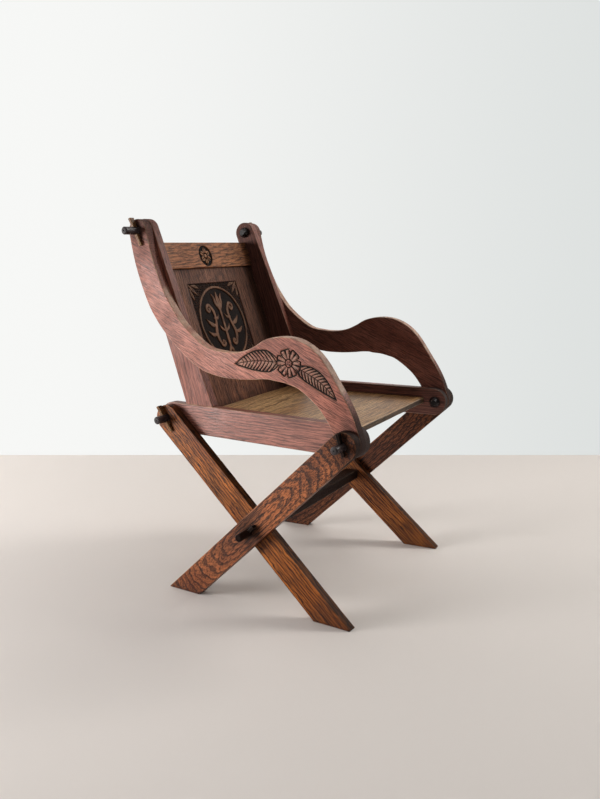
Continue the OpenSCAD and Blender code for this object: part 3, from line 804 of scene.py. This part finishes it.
stretcher = {"arris": 0.0022, "hewnLength": 0.012, "hewnDepth": 0.0004, "seed": 15.0}
bm = solidOf("stretcher")
roundArrises(bm, stretcher["arris"], 3, 0.02)
midway = chair["outerX"] * math.sin(chair["toeIn"]) - chair["crossShift"]
place = Matrix.Translation((0, midway, chair["crossing"][1]))
hew(bm, place, stretcher["hewnLength"], stretcher["hewnDepth"], stretcher["seed"])
finishPiece(bm, "stretcherBar", "frame", ["stretcher"], place, "stretcher_oak", seed=stretcher["seed"])
print("seat and stretcher made")


# the back's panel and top rail
roundel = {
    "centre": (3, 200), "ring": 93, "ringHalf": 3.6, "treeRadius": 87, "half": 106, "sunk": 3.0,
    "pitch": 0.0010, "buds": (5.6, 3.2), "budHeight": 1.9, "dents": (4.2, 0.7),
}


def volute(end, heading, radius, turns, hand):
    # a line that leaves its end the way it came and winds in to an eye
    t = np.linspace(0, 1, 24)
    start = math.radians(heading) - hand * math.pi / 2
    eye = np.array(end) - radius * np.array([math.cos(start), math.sin(start)])
    a = start + hand * t * turns * 2 * math.pi
    r = radius * (1 - t) ** 0.8 + 0.5 * t
    return np.stack([eye[0] + r * np.cos(a), eye[1] + r * np.sin(a)], 1)


def roundelStrokes():
    # a foliate tree: a budded stem between two curling side stems; each stroke has its half widths
    strokes = [
        (smoothCurve([(0, -66), (0, -40), (0, 0), (0, 40)]), (4.2, 6.2, 4.6, 5.0)),
        (smoothCurve([(0, 36), (0, 58), (0, 82)]), (4.0, 9.0, 1.0)),
    ]
    sideStrokes = [
        ([(2, 36), (12, 52), (14, 66), (22, 78)], (3.6, 5.4, 4.4, 0.8)),
        ([(0, -60), (6, -70), (14, -80)], (4.4, 5.0, 0.8)),
        ([(34, -52), (42, -26), (32, 4), (30, 30), (42, 48)], (4.6, 6.6, 5.0, 5.6, 5.0)),
        ([(34, 14), (22, 14), (12, 24)], (3.4, 4.6, 0.8)),
        ([(36, -4), (52, 0), (70, 16)], (3.8, 6.6, 0.8)),
        ([(40, -24), (58, -26), (76, -14)], (3.6, 6.0, 0.8)),
        ([(3, -20), (14, -14), (22, -2)], (3.0, 4.4, 0.8)),
    ]
    for m in (-1, 1):
        turn = 90 - m * 90
        strokes += [(smoothCurve([(m * x, y) for x, y in line]), width) for line, width in sideStrokes]
        strokes += [
            (volute((m * 42, 48), turn + m * 30, 11, 1.05, -m), (5.0, 4.0, 3.6)),
            (volute((m * 34, -52), turn - m * 110 + 360, 9.5, 1.05, -m), (4.6, 4.0, 3.4)),
        ]
    return strokes


def panelCarving(x, y):
    cx, cy = roundel["centre"]
    u, v = x - cx, y - cy
    r = np.hypot(u, v)
    sunk = roundel["sunk"]
    square = np.maximum(np.abs(u), np.abs(v)) - roundel["half"]
    ring = roundel["ringHalf"] - np.abs(r - roundel["ring"])
    inside = ring
    corner = r > roundel["ring"]
    raised = np.clip(ring / 1.2, 0, 1) * sunk
    for line, width in roundelStrokes():
        reach = np.where(r < roundel["treeRadius"], strokeHeight(u, v, line, width), -9)
        inside = np.maximum(inside, reach)
        raised = np.maximum(raised, np.clip(reach / 1.6, 0, 1) * (sunk - 0.3))
    au, av = np.abs(u), np.abs(v)
    for line, width in (
        (smoothCurve([(103, 103), (90, 90), (75, 75)]), (2.0, 5.6, 1.0)),
        (smoothCurve([(101, 92), (98, 76), (93, 64)]), (2.4, 4.8, 1.0)),
        (smoothCurve([(92, 101), (76, 98), (64, 93)]), (2.4, 4.8, 1.0)),
    ):
        reach = np.where(corner, strokeHeight(au, av, line, width), -9)
        inside = np.maximum(inside, reach)
        rounded = np.clip(reach - width[1] + 1.6, 0, 2)
        raised = np.maximum(raised, np.clip(reach / 1.2, 0, 1) * (sunk - 0.5) - rounded)
    buds = np.where(corner & (square < -2) & (ring < -1.5), -stipple(u, v, *roundel["buds"]), 0)
    raised = np.maximum(raised, np.minimum(buds, roundel["budHeight"]))
    pricked = np.where((square < -2) & (inside < -0.5), stipple(u, v, *roundel["dents"]), 0)
    depth = np.minimum(-sunk * np.clip(-square / 1.4, 0, 1) + np.where(square < 0, raised, 0), 0) + pricked
    # the sunk ground is darkened: old wax, and painted shade that is darkest next to the ring and the raised
    # strokes; the raised motif is rubbed pale
    dark = np.clip((-depth - 0.7) / 1.0, 0, 1)
    dark = dark * np.where(corner, 0.82, 0.42 + 0.52 * np.clip(1 + (inside + 1) / 3.5, 0, 1))
    dark = np.clip(dark - 0.7 * pricked, 0, 1)
    return depth, dark, 0.7 * np.clip((inside + 0.5) / 2, 0, 1) * (square < 0)


gloom = {
    "cell": 0.018, "over": 0.15, "most": 0.72, "width": 0.42, "cornerReach": 0.035, "cornerShadeAndGrime": 0.6,
    "cornerMost": 0.75,
}


def shadeBoard(bm, place, start):
    # darker towards the left stile and in the corners: painted shade for the left stile's shadow and for the
    # shade in the corners, over old polish lying thick where no cloth reaches
    diceFlat(bm, place, gloom["cell"])
    inverse, soilAndShade = place.inverted(), bm.verts.layers.float["dirt"]
    for vert in bm.verts:
        p = inverse @ vert.co
        side = unit((p.x - start) / gloom["over"])
        corner = max(0.0, 1 - (gloom["width"] / 2 - abs(p.x)) / gloom["cornerReach"])
        corner = min(gloom["cornerMost"], gloom["cornerShadeAndGrime"] * corner)
        vert[soilAndShade] = max(vert[soilAndShade], gloom["most"] * side ** 1.3, corner)


panel = {"margin": 0.001, "gloomStart": 0.04, "grain": {"seed": 18.0, "pith": (0.02, 0.14), "tilt": 0.05}}
back = backFrame()
forward = back.to_3x3() @ Vector((0, 0, 1))
bm = solidOf("back_panel")
box = boxRound(roundel["centre"], roundel["half"], panel["margin"])
carve(bm, facing(bm, forward), back, box, roundel["pitch"], panelCarving)
shadeBoard(bm, back, panel["gloomStart"])
upright = back @ Matrix(((0, 1, 0, 0), (1, 0, 0, 0), (0, 0, -1, 0), (0, 0, 0, 1)))
finishPiece(bm, "carvedPanel", "frame", ["back_panel"], upright, "panel_oak", **panel["grain"])

rosette = {"centre": (0, 373), "radius": 27, "sunk": 3.2, "pitch": 0.0007, "petals": 6}


def rosetteCarving(x, y):
    cx, cy = rosette["centre"]
    u, v = x - cx, y - cy
    r, a = np.hypot(u, v), np.arctan2(v, u) + np.pi / 2
    radius, sunk = rosette["radius"], rosette["sunk"]
    ground = -sunk * np.clip((radius - r) / 1.3, 0, 1)
    petal = np.abs(np.cos(a * rosette["petals"] / 2))
    outline = 9 + 13.5 * petal ** 0.75 + 0.8 * np.cos(18 * a)
    flower = np.clip((outline - r) / 1.4, 0, 1) * (sunk - 0.3)
    vein = r * np.arcsin(np.clip(np.sqrt(1 - petal ** 2), 0, 1)) / 3
    flower += np.where((r > 9) & (r < outline - 1.5), gouge(vein, 1.2 + 0.05 * r, 1.9), 0)
    boss = np.clip((5.8 - r) / 1.2, 0, 1) * (sunk - 0.4)
    flower = np.where(r < 8.4, boss, flower)
    depth = np.minimum(ground + np.where(r < radius - 1, np.maximum(flower, 0), 0), 0)
    # the sunk ground is darkened: old wax, and painted shade in the recess; the petals are rubbed pale
    return depth, np.clip((-depth - 0.8) / 0.9, 0, 1), 0.6 * (r < outline)


topRail = {
    "arris": 0.0016, "step": 0.006, "margin": 0.0015, "middle": 0.3755, "gloomStart": 0.05,
    "grain": {"seed": 21.0, "pith": (0.045, 0.07), "tilt": 0.08},
}
bm = solidOf("back_top_rail")
roundArrises(bm, topRail["arris"], 3, 0.1)
railFace = back @ Matrix.Translation((0, 0, topRail["step"]))
box = boxRound(rosette["centre"], rosette["radius"], topRail["margin"])
carve(bm, facing(bm, forward), railFace, box, rosette["pitch"], rosetteCarving)
shadeBoard(bm, railFace, topRail["gloomStart"])
railMiddle = railFace @ Matrix.Translation((0, topRail["middle"], 0))
finishPiece(bm, "topRail", "frame", ["back_top_rail"], railMiddle, "top_rail_oak", **topRail["grain"])
print("back carved")


# pegs and wedges
pegs = {
    "arm_top": {"joint": "topJoint", "piece": "armTopPeg"},
    "seat_front": {"joint": "frontJoint", "piece": "seatFrontPeg"},
    "seat_rear": {"joint": "rearJoint", "piece": "seatRearPeg"},
}
pegWork = {"rim": 0.0042, "step": 0.0007, "sunk": 0.0012, "band": 0.004, "rubbedAndHighlight": 0.8, "seed": 25.0}
wedges = {
    "arm_top": {"piece": "armTopWedge", "oak": "wedge_oak"},
    "seat_front": {"piece": "seatFrontWedge", "oak": "darkWedgeOak"},
    "seat_rear": {"piece": "seatRearWedge", "oak": "wedge_oak"},
    "stretcher": {"piece": "stretcherWedge", "oak": "darkWedgeOak"},
}
wedgeWork = {"arris": 0.0016, "shortest": 0.002, "seed": 31.0}


def makePeg(kind, name, hand):
    node = f"{kind}_peg_{name}"
    side = sideFrame(hand)
    joint = Vector((0, *chair[pegs[kind]["joint"]]))
    axis = side.to_3x3() @ Vector((1, 0, 0))
    place = side @ Matrix(((1, 0, 0, chair["innerX"]), (0, 1, 0, joint.y), (0, 0, 1, joint.z), (0, 0, 0, 1)))
    bm = solidOf(node)
    inverse = place.inverted()
    ends = [f for f in bm.faces if f.normal.dot(axis) > 0.99 and (inverse @ f.calc_center_median()).x > 0.03]
    tip = max(ends, key=lambda f: (inverse @ f.calc_center_median()).x)
    bmesh.ops.inset_region(bm, faces=[tip], thickness=pegWork["rim"], depth=0.0, use_even_offset=True)
    bmesh.ops.inset_region(bm, faces=[tip], thickness=pegWork["step"], depth=-pegWork["sunk"],
                           use_even_offset=True)
    soilAndShade, rubAndHighlight = bm.verts.layers.float["dirt"], bm.verts.layers.float["wear"]
    for vert in tip.verts:
        vert[soilAndShade] = 1.0
    # the rim round the peg's end is lightened: wear, and painted highlight
    far = max((inverse @ v.co).x for v in bm.verts)
    for vert in bm.verts:
        p = inverse @ vert.co
        if p.x > far - pegWork["band"] and vert[soilAndShade] < 0.5:
            vert[rubAndHighlight] = pegWork["rubbedAndHighlight"]
    finishPiece(bm, f"{pegs[kind]['piece']}_{name}", node, [node], place, "peg_oak",
                seed=pegWork["seed"] + hand)


def makeWedge(kind, name, hand):
    node = f"{kind}_wedge_{name}"
    bm = solidOf(node)
    roundArrises(bm, wedgeWork["arris"], 3, wedgeWork["shortest"])
    low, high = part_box(node)
    centre = (low + high) / 2
    place = Matrix.Translation(centre) @ Matrix(((0, 1, 0, 0), (0, 0, 1, 0), (1, 0, 0, 0), (0, 0, 0, 1)))
    finishPiece(bm, f"{wedges[kind]['piece']}_{name}", node, [node], place, "wedge_oak",
                oaks[wedges[kind]["oak"]], seed=wedgeWork["seed"] + hand)


for name, hand in hands.items():
    for kind in pegs:
        makePeg(kind, name, hand)
    for kind in wedges:
        makeWedge(kind, name, hand)
print("pegs and wedges made")


# room
room = {
    "floor": (0.72, 0.67, 0.63), "floorRough": 0.75, "floorSize": 6.0,
    # painted light: the wall is brighter on the left and fades to the right, as the window would light it
    "wallLeft": (0.93, 0.935, 0.92), "wallRight": (0.72, 0.745, 0.735), "wallFade": (-1.1, 1.5),
    "plaster": (0.82, 0.825, 0.81), "wallAway": 2.993, "wallSize": 5.0,
    "sky": (0.95, 0.97, 1.0), "skyFill": 0.12, "skySeen": 0.82,
}


def makeSheet(name, size, place, material):
    bm = bmesh.new()
    bmesh.ops.create_grid(bm, x_segments=8, y_segments=8, size=size)
    bmesh.ops.transform(bm, matrix=place, verts=bm.verts)
    mesh = bpy.data.meshes.new(name)
    bm.to_mesh(mesh)
    bm.free()
    mesh.materials.append(material)
    sheet = bpy.data.objects.new(name, mesh)
    scene.collection.objects.link(sheet)


turn = math.radians(view["turn"])
ahead = Vector((-math.sin(turn), math.cos(turn), 0))
floorMaterial = bpy.data.materials.new("paleFloor")
floorMaterial.use_nodes = True
shader = floorMaterial.node_tree.nodes["Principled BSDF"]
shader.inputs["Base Color"].default_value = (*room["floor"], 1)
shader.inputs["Roughness"].default_value = room["floorRough"]
# the wall as the camera sees it and as it shows in reflections is a painted glow, shaded from left to right;
# other light bounces off its plaster
wallMaterial = bpy.data.materials.new("paleWall")
wallMaterial.use_nodes = True
tree = wallMaterial.node_tree
tree.nodes.clear()
link = tree.links.new
seen = addNode(tree, "ShaderNodeLightPath", (-600, 300))
behind = addNode(tree, "ShaderNodeNewGeometry", (-600, 0))
plaster = addNode(tree, "ShaderNodeBsdfDiffuse", (-600, -300))
plaster.inputs["Color"].default_value = (*room["plaster"], 1)
glow = addNode(tree, "ShaderNodeEmission", (-600, -500))
spot = addNode(tree, "ShaderNodeTexCoord", (-1500, -500))
along = addNode(tree, "ShaderNodeVectorMath", (-1300, -500), operation="DOT_PRODUCT")
along.inputs[1].default_value = (math.cos(turn), math.sin(turn), 0)
link(spot.outputs["Object"], along.inputs[0])
fade = rangeNode(tree, along.outputs["Value"], (-1100, -500), room["wallFade"],
                 interpolation_type="SMOOTHSTEP")
paintedWallLight = mixNode(tree, fade, room["wallLeft"], room["wallRight"], (-900, -500))
link(paintedWallLight, glow.inputs["Color"])
clear = addNode(tree, "ShaderNodeBsdfTransparent", (-600, -700))
shown = addNode(tree, "ShaderNodeMixShader", (-300, 0))
lit = mathNode(tree, "MAXIMUM", (-450, 300), seen.outputs["Is Camera Ray"], seen.outputs["Is Glossy Ray"])
link(lit, shown.inputs[0])
link(plaster.outputs[0], shown.inputs[1])
link(glow.outputs[0], shown.inputs[2])
fromFront = addNode(tree, "ShaderNodeMixShader", (0, 0))
link(behind.outputs["Backfacing"], fromFront.inputs[0])
link(shown.outputs[0], fromFront.inputs[1])
link(clear.outputs[0], fromFront.inputs[2])
output = addNode(tree, "ShaderNodeOutputMaterial", (300, 0))
link(fromFront.outputs[0], output.inputs["Surface"])

makeSheet("floor", room["floorSize"], Matrix.Identity(4), floorMaterial)
wallFoot = Vector((view["eye"][0], view["eye"][1], 0)) + ahead * room["wallAway"]
upright = Matrix.Rotation(turn, 4, "Z") @ Matrix.Rotation(math.radians(90), 4, "X")
wallPlace = Matrix.Translation(wallFoot + Vector((0, 0, room["wallSize"]))) @ upright
makeSheet("wall", room["wallSize"], wallPlace, wallMaterial)


# energy, size, place, aim and colour of each light
lights = {
    "doorLight": (95, (1.2, 1.1), (-2.0, 2.15, 0.62), (0, 0, 0.52), (1.0, 0.985, 0.98)),
    "sideLight": (90, (1.6, 1.6), (1.9, -1.1, 2.2), (0, 0, 0.4), (1.0, 0.98, 0.95)),
    "ceilingLight": (28, (3.5, 3.5), (-0.8, 0.0, 3.4), (-0.5, 0, 0), (1.0, 0.99, 0.98)),
}


def makeLight(name, energy, size, place, aim, colour):
    data = bpy.data.lights.new(name, "AREA")
    data.shape = "RECTANGLE"
    data.size, data.size_y = size
    data.energy = energy
    data.color = colour
    lamp = bpy.data.objects.new(name, data)
    lamp.location = place
    lamp.rotation_euler = (Vector(aim) - Vector(place)).to_track_quat("-Z", "Y").to_euler()
    lamp.visible_camera = False
    scene.collection.objects.link(lamp)


for name, light in lights.items():
    makeLight(name, *light)
world = bpy.data.worlds.new("room")
scene.world = world
world.use_nodes = True
tree = world.node_tree
sky = tree.nodes["Background"]
sky.inputs["Color"].default_value = (*room["sky"], 1)
seen = addNode(tree, "ShaderNodeLightPath", (-600, 0))
skyLevels = (room["skyFill"], room["skySeen"])
level = rangeNode(tree, seen.outputs["Is Camera Ray"], (-300, 0), (0.0, 1.0), skyLevels)
tree.links.new(level, sky.inputs["Strength"])
print("room and lights set")
